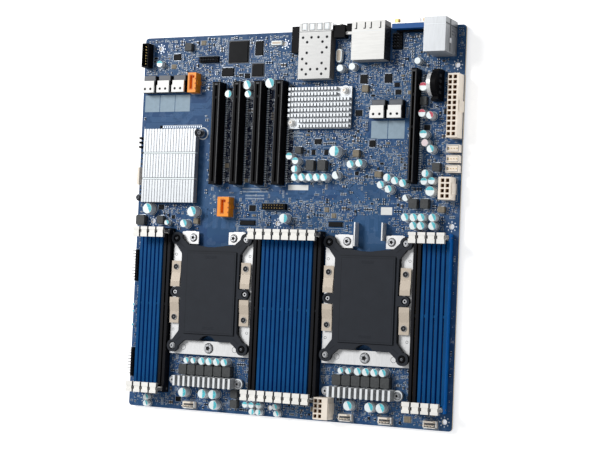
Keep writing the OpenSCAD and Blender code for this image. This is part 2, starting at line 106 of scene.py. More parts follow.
def add_studio():
    mesh = bpy.data.meshes.new("floor")
    half = 6
    mesh.from_pydata([(-half, -half, 0), (half, -half, 0), (half, half, 0), (-half, half, 0)], [],
                     [(0, 1, 2, 3)])
    floor = bpy.data.objects.new("floor", mesh)
    floor.location.z = CAD_BOX[0].z - 0.0002
    bpy.context.scene.collection.objects.link(floor)
    paper = surface("floor_paper", (0.93, 0.93, 0.93), 0.9, tone=0.01, bump=0)
    glow = paper.node_tree.nodes["Principled BSDF"]
    glow.inputs["Emission Color"].default_value = (1, 1, 1, 1)
    glow.inputs["Emission Strength"].default_value = 0.55
    mesh.materials.append(paper)
    world = bpy.data.worlds.new("studio")
    bpy.context.scene.world = world
    world.use_nodes = True
    sky = world.node_tree.nodes["Background"]
    sky.inputs["Color"].default_value = (0.95, 0.97, 1, 1)
    sky.inputs["Strength"].default_value = 0.29
    add_light("key", (-1.25, 0.8, 1.7), (0, 0, 0), 0.8, 39)
    add_light("fill", (0.1, -1.2, 1.8), (0, 0, 0), 1.4, 7)
    bpy.context.scene.view_settings.view_transform = "Standard"


# ---- materials

def add_node(tree, kind, values, **settings):
    """A new shader node. Each value is linked if it is a socket, and set if not."""
    node = tree.nodes.new("ShaderNode" + kind)
    for key, value in settings.items():
        setattr(node, key, value)
    for key, value in values.items():
        if isinstance(value, bpy.types.NodeSocket):
            tree.links.new(value, node.inputs[key])
        else:
            node.inputs[key].default_value = value
    return node


def mix_colour(tree, factor, a, b):
    a, b = ((*colour, 1) if isinstance(colour, tuple) else colour for colour in (a, b))
    return add_node(tree, "Mix", {0: factor, 6: a, 7: b}, data_type="RGBA").outputs[2]


def scaled(colour, k):
    return tuple(min(1, c * k) for c in colour)


def add_noise(tree, vector, scale, detail=3):
    return add_node(tree, "TexNoise", {"Vector": vector, "Scale": scale, "Detail": detail,
                                       "Roughness": 0.55}).outputs["Fac"]


def add_range(tree, value, low, high, from_low=0.3, from_high=0.7):
    return add_node(tree, "MapRange", {"Value": value, "From Min": from_low, "From Max": from_high,
                                       "To Min": low, "To Max": high}).outputs["Result"]


def add_math(tree, operation, a, b=0.0):
    return add_node(tree, "Math", {0: a, 1: b}, operation=operation).outputs[0]


def surface(name, colour, rough, metal=0.0, tone=0.12, tone_scale=90, grain=0.07, grain_scale=2600,
            bump=0.02, coat=0.0, stretch=(1, 1, 1), pattern=None, gloss=0.35):
    """A procedural surface: slow tone changes, fine grain in roughness and relief.

    stretch draws the grain out along an axis, as brushing does. pattern(tree, place, colour)
    may return a colour of its own made from the object's coordinates.
    """
    material = bpy.data.materials.new(name)
    material.use_nodes = True
    tree = material.node_tree
    shader = tree.nodes["Principled BSDF"]
    for key, value in (("Metallic", metal), ("Specular IOR Level", gloss), ("Coat Weight", coat),
                       ("Coat Roughness", 0.18)):
        shader.inputs[key].default_value = value
    place = tree.nodes.new("ShaderNodeTexCoord").outputs["Object"]
    drawn = add_node(tree, "Mapping", {"Vector": place, "Scale": stretch}).outputs["Vector"]
    slow = add_range(tree, add_noise(tree, drawn, tone_scale), 0, 1)
    base = mix_colour(tree, slow, scaled(colour, 1 - tone), scaled(colour, 1 + tone))
    if pattern:
        base = pattern(tree, place, base)
    tree.links.new(base, shader.inputs["Base Color"])
    fine = add_noise(tree, drawn, grain_scale, detail=2)
    tree.links.new(add_range(tree, fine, max(0.02, rough - grain), min(1, rough + grain)),
                   shader.inputs["Roughness"])
    if bump:
        relief = add_node(tree, "Bump", {"Strength": 0.5, "Distance": bump * MM, "Height": fine})
        tree.links.new(relief.outputs["Normal"], shader.inputs["Normal"])
    return material


def part_of(tree, place, axis):
    return add_node(tree, "SeparateXYZ", {0: place}).outputs["XYZ".index(axis)]


def lines(tree, place, axis, pitch, share):
    """1 on evenly spaced lines across an axis, 0 between them."""
    turns = add_math(tree, "DIVIDE", part_of(tree, place, axis), pitch * MM)
    return add_math(tree, "LESS_THAN", add_math(tree, "FRACT", turns), share)


def stripes(axis, pitch, share, colour, strength=1.0):
    """A pattern of thin lines across an axis: pitch in mm, share of it that is line."""
    def draw(tree, place, base):
        return mix_colour(tree, add_math(tree, "MULTIPLY", lines(tree, place, axis, pitch, share), strength),
                          base, colour)
    return draw


def facing(tree, axis):
    """1 where the surface's own normal lies along an axis."""
    normal = tree.nodes.new("ShaderNodeTexCoord").outputs["Normal"]
    along = add_math(tree, "ABSOLUTE", part_of(tree, normal, axis))
    return add_math(tree, "GREATER_THAN", along, 0.7)


def painted_face_shading(axis, share, colour=(0.02, 0.022, 0.028), first=None):
    """A pattern that paints light into the faces across one axis, after a pattern of their own: painted shade
    with a dark colour, a painted highlight with a light one.
    """
    def draw(tree, place, base):
        if first:
            base = first(tree, place, base)
        painted_tone = mix_colour(tree, share, base, colour)
        return mix_colour(tree, facing(tree, axis), base, painted_tone)
    return draw


def board_pattern(tree, place, base):
    """Copper seen through the mask: pours with straight edges, fine parallel tracks, tan cut edges."""
    def cells(scale):
        return add_node(tree, "TexVoronoi", {"Vector": place, "Scale": scale},
                        distance="CHEBYCHEV").outputs["Color"]

    pours = part_of(tree, cells(55), "X")
    base = mix_colour(tree, add_range(tree, pours, 0, 0.55, 0, 1), base, (0.012, 0.045, 0.15))
    fine = cells(210)
    runs = add_math(tree, "GREATER_THAN", part_of(tree, fine, "Y"), 0.62)
    for axis, side in (("X", "GREATER_THAN"), ("Y", "LESS_THAN")):
        chosen = add_math(tree, side, part_of(tree, fine, "Z"), 0.5)
        seen = add_math(tree, "MULTIPLY", add_math(tree, "MULTIPLY", runs, chosen),
                        lines(tree, place, axis, 0.6, 0.4))
        base = mix_colour(tree, add_math(tree, "MULTIPLY", seen, 0.55), base, (0.10, 0.17, 0.30))
    return mix_colour(tree, facing(tree, "Z"), (0.62, 0.54, 0.40), base)


def make_materials():
    brushed = (1, 12, 1)
    return {
        "board": surface("solder_mask", (0.025, 0.082, 0.188), 0.45, tone=0.14, tone_scale=26, bump=0.01,
                         pattern=board_pattern, gloss=0.12),
        "trace": surface("masked_copper", (0.048, 0.125, 0.27), 0.4, tone=0.1, gloss=0.12),
        "ink": surface("silk_ink", (0.46, 0.53, 0.60), 0.7, tone=0.12, tone_scale=400),
        "pale_ink": surface("pale_ink", (0.276, 0.371, 0.45), 0.6, tone=0.06, tone_scale=300),
        "ring_ink": surface("ring_ink", (0.80, 0.83, 0.85), 0.6, tone=0.05),
        "tin": surface("tinned_pad", (0.56, 0.61, 0.68), 0.4, metal=0.4, tone=0.2, tone_scale=500),
        "gold": surface("gold_contact", (0.569, 0.395, 0.158), 0.34, metal=0.8, tone=0.12),
        "hole": surface("dark_hollow", (0.008, 0.008, 0.01), 0.8, tone=0.2),
        "steel": surface("bright_steel", (0.616, 0.624, 0.64), 0.32, metal=0.7, tone=0.06, bump=0.01,
                         stretch=brushed),
        "frame": surface("frame_steel", (0.80, 0.80, 0.80), 0.38, metal=0.4, tone=0.06, bump=0.015,
                         tone_scale=160, stretch=(9, 1, 1)),
        "backplate": surface("backplate_film", (0.0237, 0.0245, 0.0269), 0.38, tone=0.12, coat=0.1),
        # The cage's, ports' and stack's sides across x are painted in shade, and the ports' and stack's ends
        # across y too
        "cage": surface("cage_steel", (0.53, 0.53, 0.52), 0.36, metal=0.1, tone=0.05, bump=0.012,
                        stretch=(1, 9, 1), pattern=painted_face_shading("X", 0.8, (0.09, 0.075, 0.06))),
        "port": surface("port_steel", (0.72, 0.715, 0.69), 0.4, metal=0.1, tone=0.05, bump=0.012,
                        stretch=(1, 9, 1),
                        pattern=painted_face_shading("X", 0.97, first=painted_face_shading("Y", 0.5))),
        "stack": surface("stack_steel", (0.552, 0.57, 0.589), 0.36, metal=0.35, tone=0.05, bump=0.012,
                         stretch=(9, 1, 1), pattern=painted_face_shading("X", 0.55, first=painted_face_shading("Y", 0.3))),
        "spring": surface("spring_steel", (0.56, 0.48, 0.39), 0.52, metal=0.1, tone=0.1, tone_scale=500,
                          stretch=(9, 1, 1)),
        "cover": surface("cover_plastic", (0.0193, 0.0226, 0.0301), 0.6, tone=0.07, bump=0.03,
                         grain_scale=3800, gloss=0.2),
        "cover_line": surface("cover_edge", (0.00852, 0.00996, 0.0133), 0.6, tone=0.1, gloss=0.2),
        "socket": surface("socket_plastic", (0.0126, 0.0126, 0.015), 0.5, tone=0.15, gloss=0.2),
        # The blue slots' sides across x are painted lighter blue, a painted highlight
        "dimm_blue": surface("slot_blue", (0.001, 0.075, 0.225), 0.45, tone=0.1, gloss=0.1,
                             pattern=painted_face_shading("X", 0.75, (0.001, 0.12, 0.46), first=stripes(
                                 "Y", 0.85, 0.35, (0.002, 0.03, 0.13), 0.5))),
        "dimm_black": surface("slot_black", (0.00711, 0.00711, 0.00948), 0.45, tone=0.15, gloss=0.12,
                              pattern=stripes("Y", 0.85, 0.35, (0.003, 0.003, 0.004), 0.6)),
        "pcie": surface("expansion_black", (0.00284, 0.00284, 0.00379), 0.48, tone=0.15, gloss=0.07,
                        pattern=stripes("Y", 1.0, 0.4, (0.002, 0.002, 0.003), 0.6)),
        # The latches' sides across x are painted in shade
        "latch": surface("latch_nylon", (0.95, 0.93, 0.88), 0.5, tone=0.05, bump=0.015,
                         pattern=painted_face_shading("X", 0.85)),
        # The fins' sides across x are painted in shade, the shade of the gaps between them
        "fins": surface("anodised_fins", (0.608, 0.632, 0.656), 0.42, metal=0.3, tone=0.05, bump=0.012,
                        stretch=brushed, pattern=painted_face_shading("X", 0.35)),
        "bar_fins": surface("bar_fins", (0.84, 0.86, 0.87), 0.42, metal=0.2, tone=0.05, bump=0.012,
                            pattern=painted_face_shading("X", 0.5)),
        # Grey for the painted highlights on the expansion slots' edges, and for the marks on the cell's holder
        "highlight_and_mark_grey": surface("highlight_and_mark_grey", (0.0395, 0.0411, 0.0458), 0.4, tone=0.1, gloss=0.3),
        # Dark navy for the painted shadow beside the expansion slots
        "painted_slot_shadow": surface("painted_slot_shadow", (0.004, 0.01, 0.032), 0.5, tone=0.2, gloss=0.2),
        "dark_pin": surface("dark_pin", (0.05, 0.055, 0.065), 0.4, metal=0.4, tone=0.2),
        "ivory": surface("socket_nylon", (0.94, 0.84, 0.72), 0.5, tone=0.06),
        "white": surface("white_nylon", (0.96, 0.95, 0.92), 0.5, tone=0.05),
        "black": surface("header_black", (0.00387, 0.00387, 0.00498), 0.45, tone=0.2, gloss=0.06),
        "orange": surface("orange_nylon", (1.0, 0.31, 0.012), 0.45, tone=0.06),
        "rust": surface("slot_rim", (0.45, 0.09, 0.006), 0.5, tone=0.1),
        "vga_blue": surface("port_blue", (0.00316, 0.0829, 0.3), 0.42, tone=0.08, gloss=0.25),
        "grey": surface("grey_plastic", (0.126, 0.134, 0.15), 0.5, tone=0.1),
        "ferrite": surface("pressed_ferrite", (0.0571, 0.0604, 0.0618), 0.62, tone=0.22, tone_scale=700,
                           grain_scale=5000, bump=0.04),
        "tan": surface("tan_ferrite", (0.213, 0.182, 0.134), 0.62, tone=0.2, tone_scale=700, bump=0.03),
        "chip": surface("chip_mould", (0.0118, 0.0122, 0.0135), 0.5, tone=0.15, grain_scale=5200, bump=0.015,
                        gloss=0.06),
        "can": surface("can_aluminium", (0.78, 0.82, 0.84), 0.4, metal=0.1, tone=0.06),
        "can_top": surface("can_top", (0.86, 0.93, 0.94), 0.4, metal=0.05, tone=0.03),
        "pink_top": surface("pink_top", (0.85, 0.70, 0.72), 0.4, tone=0.05),
        "mark_cyan": surface("mark_cyan", (0.09, 0.52, 0.60), 0.45, tone=0.3, tone_scale=300),
        "mark_red": surface("mark_red", (0.49, 0.0553, 0.0948), 0.45, tone=0.15),
        "mark_black": surface("mark_black", (0.03, 0.035, 0.045), 0.5, tone=0.12),
        "ceramic": surface("capacitor_ceramic", (0.12, 0.10, 0.085), 0.5, tone=0.25, tone_scale=900),
        "resistor": surface("resistor_glaze", (0.00948, 0.00948, 0.0111), 0.4, tone=0.2, gloss=0.25),
        "label": surface("paper_label", (0.80, 0.80, 0.78), 0.7, tone=0.03),
        "copper": surface("terminal_copper", (0.316, 0.158, 0.0672), 0.38, metal=0.5, tone=0.3,
                          tone_scale=700),
        "cell": surface("cell_steel", (0.86, 0.86, 0.86), 0.3, metal=0.6, tone=0.05, stretch=(1, 1, 6)),
    }


# ---- mesh building

def polar(x, y, r, angle):
    """The point at a radius and an angle round x, y."""
    return x + r * math.cos(angle), y + r * math.sin(angle)


def spread(count, pitch):
    """Evenly spaced offsets, centred on 0."""
    return [(i - (count - 1) / 2) * pitch for i in range(count)]


class Batch:
    """Collects many small solids, in board millimetres, into one piece."""

    def __init__(self, name, slot, body="board", replaces=()):
        self.name, self.slot, self.body, self.gone = name, slot, body, replaces
        self.points, self.faces, self.looks, self.mats, self.smooth = [], [], [], [], []

    def paint(self, look, count, smooth=False):
        """Gives the last faces their look."""
        if look not in self.looks:
            self.looks.append(look)
        self.mats += [self.looks.index(look)] * count
        self.smooth += [smooth] * count

    def face(self, corners, look):
        start = len(self.points)
        self.points += corners
        self.faces.append(tuple(range(start, start + len(corners))))
        self.paint(look, 1)

    def flat(self, x0, y0, x1, y1, z, look):
        self.face([(x0, y0, z), (x1, y0, z), (x1, y1, z), (x0, y1, z)], look)

    def wall(self, low, high, look, smooth=False):
        """The faces between two equal rings."""
        start, n = len(self.points), len(low)
        self.points += low + high
        for i in range(n):
            j = (i + 1) % n
            self.faces.append((start + i, start + j, start + n + j, start + n + i))
        self.paint(look, n, smooth)
        return start, n

    def solid(self, low, high, look):
        """A wall with a lid on it and a floor under it."""
        start, n = self.wall(low, high, look)
        self.faces += [tuple(range(start + n, start + 2 * n)), tuple(range(start, start + n))[::-1]]
        self.paint(look, 2)

    def box(self, x0, y0, x1, y1, h, look, z=0.0, inset=0.0):
        """A block whose upper edges may slope in by inset."""
        a = inset
        self.solid([(x0, y0, z), (x1, y0, z), (x1, y1, z), (x0, y1, z)],
                   [(x0 + a, y0 + a, z + h), (x1 - a, y0 + a, z + h), (x1 - a, y1 - a, z + h),
                    (x0 + a, y1 - a, z + h)], look)

    def pad(self, x, y, w, d, h, look, z=0.0, inset=0.0):
        self.box(x - w / 2, y - d / 2, x + w / 2, y + d / 2, h, look, z, inset)

    def turned(self, x, y, profile, look, n=24, axis="Z"):
        """A shape of revolution. profile is (radius, height) pairs, and look a name or one each."""
        looks = [look] * (len(profile) - 1) if isinstance(look, str) else look
        rings = [[self.spin(x, y, r, z, math.tau * i / n, axis) for i in range(n)] for r, z in profile]
        for low, high, (r, _z), paint in zip(rings, rings[1:], profile[1:], looks):
            if r:
                self.wall(low, high, paint, n > 8)
            else:
                self.face(low, paint)

    @staticmethod
    def spin(x, y, r, z, angle, axis):
        c, s = r * math.cos(angle), r * math.sin(angle)
        if axis == "Z":
            return (x + c, y + s, z)
        return (x + c, z, y - s)  # axis Y: x, y are its x and z, and z the place along it

    def ring(self, x, y, r, width, z, look, n=20):
        for i in range(n):
            a, b = math.tau * i / n, math.tau * (i + 1) / n
            self.face([(*polar(x, y, k, t), z)
                       for k, t in ((r, a), (r + width, a), (r + width, b), (r, b))], look)

    def strip(self, points, width, z, look):
        """A flat ribbon along a line of points, with mitred corners."""
        sides = []
        for i, p in enumerate(points):
            before = points[max(0, i - 1)]
            after = points[min(len(points) - 1, i + 1)]
            dx, dy = after[0] - before[0], after[1] - before[1]
            size = math.hypot(dx, dy) or 1
            nx, ny = -dy / size * width / 2, dx / size * width / 2
            sides.append(((p[0] + nx, p[1] + ny, z), (p[0] - nx, p[1] - ny, z)))
        for (a, b), (c, d) in zip(sides, sides[1:]):
            self.face([b, d, c, a], look)

    def outline(self, x0, y0, x1, y1, width, z, look, grow=0.0):
        """A flat frame along the inside of a rectangle, which may first grow."""
        x0, y0, x1, y1 = x0 - grow, y0 - grow, x1 + grow, y1 + grow
        for a, b, c, d in ((x0, y0, x1, y0 + width), (x0, y1 - width, x1, y1),
                           (x0, y0 + width, x0 + width, y1 - width),
                           (x1 - width, y0 + width, x1, y1 - width)):
            self.flat(a, b, c, d, z, look)

    def build(self):
        mesh = bpy.data.meshes.new(self.name)
        mesh.from_pydata([to_row(*p) for p in self.points], [], self.faces)
        mesh.polygons.foreach_set("material_index", self.mats)
        mesh.polygons.foreach_set("use_smooth", self.smooth)
        for look in self.looks:
            mesh.materials.append(LOOKS[look])
        mesh.update()
        piece = bpy.data.objects.new(self.name, mesh)
        bpy.context.scene.collection.objects.link(piece)
        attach(piece, self.body)
        if self.gone:
            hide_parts(*self.gone)


class Block:
    """The box of one separate solid, in board millimetres."""

    def __init__(self, low, high):
        (self.x0, self.y0, self.z0), (self.x1, self.y1, self.z1) = low, high
        self.x, self.y = (self.x0 + self.x1) / 2, (self.y0 + self.y1) / 2
        self.w, self.d = self.x1 - self.x0, self.y1 - self.y0
        self.edges = self.x0, self.y0, self.x1, self.y1


def islands(node):
    """The block round each separate solid of a CAD node."""
    mesh = NODES[node].data
    keys = {}
    where = [keys.setdefault(tuple(round(c, 6) for c in v.co), len(keys)) for v in mesh.vertices]
    parent = list(range(len(keys)))

    def root(i):
        while parent[i] != i:
            parent[i] = parent[parent[i]]
            i = parent[i]
        return i

    for polygon in mesh.polygons:
        first = root(where[polygon.vertices[0]])
        for v in polygon.vertices[1:]:
            parent[root(where[v])] = first
    groups = {}
    for key, i in keys.items():
        groups.setdefault(root(i), []).append(key)
    boxes = []
    for points in groups.values():
        array = np.array(points)
        boxes.append((to_board(Vector(array.min(0))), to_board(Vector(array.max(0)))))
    return [Block(*box) for box in sorted(boxes)]


# ---- what is on the board's face

CELL = 0.5  # size of a square of the map of free places, in mm


class Map:
    """Which places on the board's face are still free."""

    def __init__(self):
        self.used = np.zeros((int(BOARD_W / CELL) + 1, int(BOARD_D / CELL) + 1), bool)
        edge = int(1.5 / CELL)
        self.used[:edge] = self.used[-edge:] = True
        self.used[:, :edge] = self.used[:, -edge:] = True

    @staticmethod
    def span(x0, y0, x1, y1):
        return (slice(max(0, int(x0 / CELL)), int(x1 / CELL) + 1),
                slice(max(0, int(y0 / CELL)), int(y1 / CELL) + 1))

    def take(self, x0, y0, x1, y1):
        self.used[self.span(x0, y0, x1, y1)] = True

    def free(self, x0, y0, x1, y1):
        inside = 1 < x0 and 1 < y0 and x1 < BOARD_W - 1 and y1 < BOARD_D - 1
        return inside and not self.used[self.span(x0, y0, x1, y1)].any()


def edges(x, y, w, d, grow=0.0, grow_y=None):
    """The sides of a rectangle round x, y, which may grow."""
    grow_y = grow if grow_y is None else grow_y
    return x - w / 2 - grow, y - d / 2 - grow_y, x + w / 2 + grow, y + d / 2 + grow_y


CPU_CENTRES = [(81.2, 102.8), (228.5, 102.8)]
MOUNT_HOLES = [(16.51, 7.42), (140.97, 7.42), (298.45, 7.42), (16.51, 164.9), (140.97, 164.9),
               (298.45, 164.9), (16.51, 319.84), (140.97, 319.84), (298.45, 296.98)]


def map_parts():
    places = Map()
    loose = ("circuit_board", "cpu_backplates", "id_button", "coin_cell")
    for name in NODES:
        if name in loose or name.startswith("latch"):
            continue
        for b in islands(name):
            places.take(b.x0 - 0.4, b.y0 - 0.4, b.x1 + 0.4, b.y1 + 0.4)
    for x, y in MOUNT_HOLES:
        places.take(x - 5, y - 5, x + 5, y + 5)
    # Labels and clear stretches
    for x0, y0, x1, y1 in ((148, 192, 170, 199), (235, 172, 247, 181), (2, 262, 50, 279), (4, 248, 64, 262),
                           (50, 262, 72, 279), (222, 236, 256, 253), (64, 158, 98, 169), (212, 146, 242, 172)):
        places.take(x0, y0, x1, y1)
    return places


SMALL_KINDS = [  # length, width, height, end length, body, share
    (1.6, 0.8, 0.8, 0.35, "ceramic", 0.2),
    (1.0, 0.5, 0.5, 0.25, "ceramic", 0.14),
    (1.6, 0.8, 0.45, 0.35, "resistor", 0.26),
    (1.0, 0.5, 0.35, 0.25, "resistor", 0.16),
    (2.0, 1.25, 1.1, 0.4, "resistor", 0.12),
    (3.2, 1.6, 1.2, 0.5, "ceramic", 0.06),
    (3.0, 1.5, 1.0, 0.3, "resistor", 0.06)]
QUIET = [(60, 184, 252, 199), (4, 248, 66, 262), (66, 170, 80, 262),  # stretches with few parts
         (60, 160, 100, 183), (210, 145, 250, 165), (44, 155, 60, 172)]


def quiet(x, y):
    return any(x0 < x < x1 and y0 < y < y1 for x0, y0, x1, y1 in QUIET)


def add_small_parts(places, chance):
    """Rows of small capacitors, resistors and chips, with pads and ink, in the free places."""
    parts = Batch("small_parts", "chips")
    weights = [kind[5] for kind in SMALL_KINDS]
    for _ in range(330):  # small chips with legs on two sides
        w, d = chance.choice(((3, 3), (5, 4), (2, 1.3), (3, 1.6), (4, 4), (6, 5)))
        x, y = chance.uniform(5, BOARD_W - 5), chance.uniform(5, BOARD_D - 5)
        if quiet(x, y) or not places.free(*edges(x, y, w, d, 1, 0.5)):
            continue
        places.take(*edges(x, y, w, d, 1, 0.3))
        parts.pad(x, y, w, d, 0.9, chance.choice(("chip", "chip", "tan")), z=0.1, inset=0.12)
        for shift in spread(max(1, int(d / LEG_PITCH)), LEG_PITCH):
            for side in (-1, 1):
                parts.pad(x + side * (w / 2 + 0.3), y + shift, 0.7, 0.3, 0.2, "tin")
        parts.outline(*edges(x, y, w, d, 0.9, 0.4), 0.16, SKIN, "ink")
    for _ in range(42000):
        length, width, height, end, body, _share = chance.choices(SMALL_KINDS, weights)[0]
        along_x = chance.random() < 0.5
        w, d = (length, width) if along_x else (width, length)
        x = round(chance.uniform(3, BOARD_W - 3) * 2) / 2
        y = round(chance.uniform(3, BOARD_D - 3) * 2) / 2
        if quiet(x, y) and chance.random() < 0.94:
            continue
        count = chance.choice((1, 1, 1, 2, 2, 3, 4))
        step = width + chance.choice((0.6, 0.8, 1.2))
        boxed = chance.random() < 0.45
        for i in range(count):
            cx = x if along_x else x + i * step
            cy = y + i * step if along_x else y
            if not places.free(*edges(cx, cy, w, d, 0.3)):
                break
            places.take(*edges(cx, cy, w, d))
            parts.pad(cx, cy, w - 0.1, d - 0.1, height - 0.05, body)
            for side in (-1, 1):
                shift = side * (length - end) / 2
                px, py = (cx + shift, cy) if along_x else (cx, cy + shift)
                pw, pd = (end, width) if along_x else (width, end)
                parts.pad(px, py, pw, pd, height, "tin", inset=0.04)
            if boxed:
                parts.outline(*edges(cx, cy, w, d, 0.4), 0.16, SKIN, "ink")
    for _ in range(5200):  # short ink strokes beside the parts
        x, y = chance.uniform(3, BOARD_W - 3), chance.uniform(3, BOARD_D - 3)
        w, d = chance.choice(((0.3, 1.0), (1.0, 0.3), (0.3, 1.6), (0.5, 0.5)))
        stroke = edges(x, y, w, d)
        if places.free(*stroke) and not (quiet(x, y) and chance.random() < 0.9):
            parts.flat(*stroke, SKIN, "ink")
    parts.build()


def add_copper(places, chance):
    """Pads round the mounting holes, vias, test points and bare pads."""
    pads = Batch("board_pads", "fasteners")
    for x, y in MOUNT_HOLES:
        pads.ring(x, y, 2.02, 0.35, SKIN, "tin", 32)
        for i in range(8):
            angle = math.tau * i / 8
            c, s = math.cos(angle), math.sin(angle)
            corners = [(x + r * c - t * s, y + r * s + t * c, SKIN * 1.5)
                       for r, t in ((3.2, -0.3), (4.4, -0.55), (4.4, 0.55), (3.2, 0.3))]
            pads.face(corners, "tin")
    for _ in range(4200):
        x, y = chance.uniform(2, BOARD_W - 2), chance.uniform(2, BOARD_D - 2)
        size = chance.choice((0.24, 0.24, 0.3, 0.45))
        bare = not (quiet(x, y) and chance.random() < 0.8)
        if bare and places.free(x - size, y - size, x + size, y + size):
            look = "tin" if size > 0.4 else chance.choice(("tin", "tin", "gold"))
            for n, r, z, paint in ((8, size, SKIN, look), (6, size * 0.45, SKIN * 1.3, "hole")):
                pads.face([(*polar(x, y, r, math.tau * i / n), z) for i in range(n)], paint)
    pads.build()


def add_traces(chance):
    """Bundles of parallel tracks under the mask, with 45 degree turns."""
    traces = Batch("board_traces", "circuit_board")

    def bundle(points, count=8, pitch=0.55, width=0.28):
        for shift in spread(count, pitch):
            moved = []
            for i, p in enumerate(points):
                a = points[max(0, i - 1)]
                b = points[min(len(points) - 1, i + 1)]
                size = math.hypot(b[0] - a[0], b[1] - a[1])
                moved.append((p[0] - (b[1] - a[1]) / size * shift, p[1] + (b[0] - a[0]) / size * shift))
            traces.strip(moved, width, SKIN * 0.5, "trace")

    # From the sockets up to the expansion slots, and across to the chipset
    for i in range(4):
        x = 70 + i * 9
        top = 84 + i * 18
        bundle([(x, 160), (x, 172), (top, 172 + abs(top - x)), (top, 196)])
    for i in range(3):
        x = 216 + i * 8
        bundle([(x, 160), (x, 176), (x - 22, 198), (x - 22, 236)], 7)
    bundle([(66, 168), (66, 214), (72, 220), (72, 262)], 8, 0.6, 0.3)
    bundle([(4, 250), (40, 250), (52, 262), (70, 262)], 10, 0.6, 0.3)
    bundle([(10, 256), (34, 256), (46, 268), (66, 268), (74, 276), (74, 296)], 8, 0.6, 0.3)
    bundle([(148, 192), (210, 192), (226, 176), (290, 176)])
    bundle([(212, 240), (218, 246), (218, 270), (232, 284), (256, 284)])
    bundle([(255, 200), (255, 250), (258, 253), (258, 296)])
    bundle([(70, 190), (140, 190), (146, 184), (206, 184)], 6, 0.6, 0.3)
    bundle([(120, 290), (128, 298), (128, 316)], 6, 0.6, 0.3)
    for _ in range(260):
        x, y = chance.uniform(6, BOARD_W - 20), chance.uniform(162, BOARD_D - 20)
        run = chance.uniform(5, 16)
        jog = chance.uniform(1, 4) * chance.choice((-1, 1))
        if chance.random() < 0.5:
            line = [(x, y), (x + run / 2, y), (x + run / 2 + abs(jog), y + jog), (x + run, y + jog)]
        else:
            line = [(x, y), (x, y + run / 2), (x + jog, y + run / 2 + abs(jog)), (x + jog, y + run)]
        line = [(min(max(px, 2), BOARD_W - 2), min(max(py, 2), BOARD_D - 2)) for px, py in line]
        bundle(line, chance.choice((1, 2, 3, 4)), 0.5, 0.22)
    traces.build()


def add_ink():
    """White outlines round the parts, dashes beside them, and the pale keep-clear squares."""
    ink = Batch("board_ink", "circuit_board")
    for b in islands("capacitors"):
        ink.ring(b.x, b.y, b.w / 2 + 0.35, 0.3, SKIN, "ring_ink", 24)
    ink.ring(63.3, 243, 4.6, 0.9, SKIN, "ring_ink", 32)
    for name in ("chokes", "chips", "sata_connectors", "black_headers"):
        for b in islands(name):
            ink.outline(*b.edges, 0.2, SKIN, "ink", 0.8)
    for b in islands("pcie_slots") + islands("power_connectors"):
        ink.outline(*b.edges, 0.22, SKIN, "ink", 0.9)
    for x0, x1, y0, y1, count in ((2, 49, 263, 278, 3), (224, 254.5, 237, 252, 2)):
        w = (x1 - x0) / count
        for i in range(count):
            a = x0 + i * w
            ink.flat(a + 0.3, y0, a + w - 0.3, y1, SKIN, "pale_ink")
    ink.pad(159, 195.8, 19, 4.4, 0.12, "label")
    ink.pad(241, 176.8, 10, 6.4, 0.12, "label")
    # Bare two-row footprints, inked as rows of dashes
    for x0, y0, count in ((106, 192, 22), (109, 186, 16), (150, 240, 10)):
        for i in range(count):
            for j in range(2):
                ink.pad(x0 + i * 1.15, y0 + j * 2.6, 0.6, 1.3, SKIN, "ink")
    ink.build()


# ---- parts that replace CAD nodes

RED_TOPS = ((272.3, 278.7), (272, 256.9), (279, 255.1))
PALE_TOPS = ((275.5, 232.5), (196, 296.5), (207, 297.5), (265.5, 300.5))
BLACK_TOPS = ((196, 206), (259.5, 187.5))
MARK_AT_RIGHT = ((195, 226), (158.5, 211), (59, 15.5), (78.5, 15.5), (89, 15.5), (90, 6.5), (126.5, 3.4),
                 (133, 3.4), (276.8, 207.5), (243.5, 204), (91.5, 276.5), (150, 168.9))
MARK_AT_REAR = ((153, 222), (159, 218), (276, 201), (282.5, 201.5), (281.5, 193), (120, 8.9), (126, 8.9),
                (133, 8.9), (272.3, 278.7), (272, 256.9), (273.9, 239.6), (19, 305.5))


def near(x, y, places):
    return any(math.hypot(x - a, y - b) < 2 for a, b in places)


def add_capacitors():
    """Cans with a rolled edge, a pressed groove, and a coloured mark on part of the top."""
    cans = Batch("capacitor_cans", "capacitors", replaces=("capacitors",))
    for b in islands("capacitors"):
        x, y, r, h = b.x, b.y, b.w / 2, b.z1
        mark = "mark_red" if near(x, y, RED_TOPS) else "mark_cyan"
        if near(x, y, BLACK_TOPS):
            mark = "mark_black"
        top = "pink_top" if near(x, y, PALE_TOPS[:1]) else "can_top"
        cans.turned(x, y, [(r * 0.97, 0), (r, 0.4), (r, 0.9), (r * 0.94, 1.2), (r, 1.5), (r, h - 0.4),
                           (r * 0.97, h - 0.1), (r * 0.93, h)],
                    ["black"] * 2 + ["can"] * 4 + ["can_top"], 32)
        # The mark covers the part of the top past a chord
        turn = math.pi / 7
        if near(x, y, MARK_AT_RIGHT):
            turn = 0
        elif near(x, y, MARK_AT_REAR):
            turn = math.pi / 2
        rim = r * 0.93
        half = math.acos({"mark_cyan": 0.2, "mark_red": 0.2, "mark_black": 0.45}[mark])
        if near(x, y, PALE_TOPS):
            half, mark = 0.35, "mark_black"
        steps = 14
        arc = [turn - half + 2 * half * i / steps for i in range(steps + 1)]
        rest = [turn + half + (math.tau - 2 * half) * i / steps for i in range(steps + 1)]
        for angles, paint in ((arc, mark), (rest, top)):
            cans.face([(*polar(x, y, rim, t), h) for t in angles], paint)
        for angle in (turn, turn + math.pi / 2):  # pressed cross
            c, s = math.cos(angle), math.sin(angle)
            cans.strip([(x - c * rim * 0.5, y - s * rim * 0.5), (x + c * rim * 0.5, y + s * rim * 0.5)],
                       0.12, h + 0.012, "can")
    cans.build()


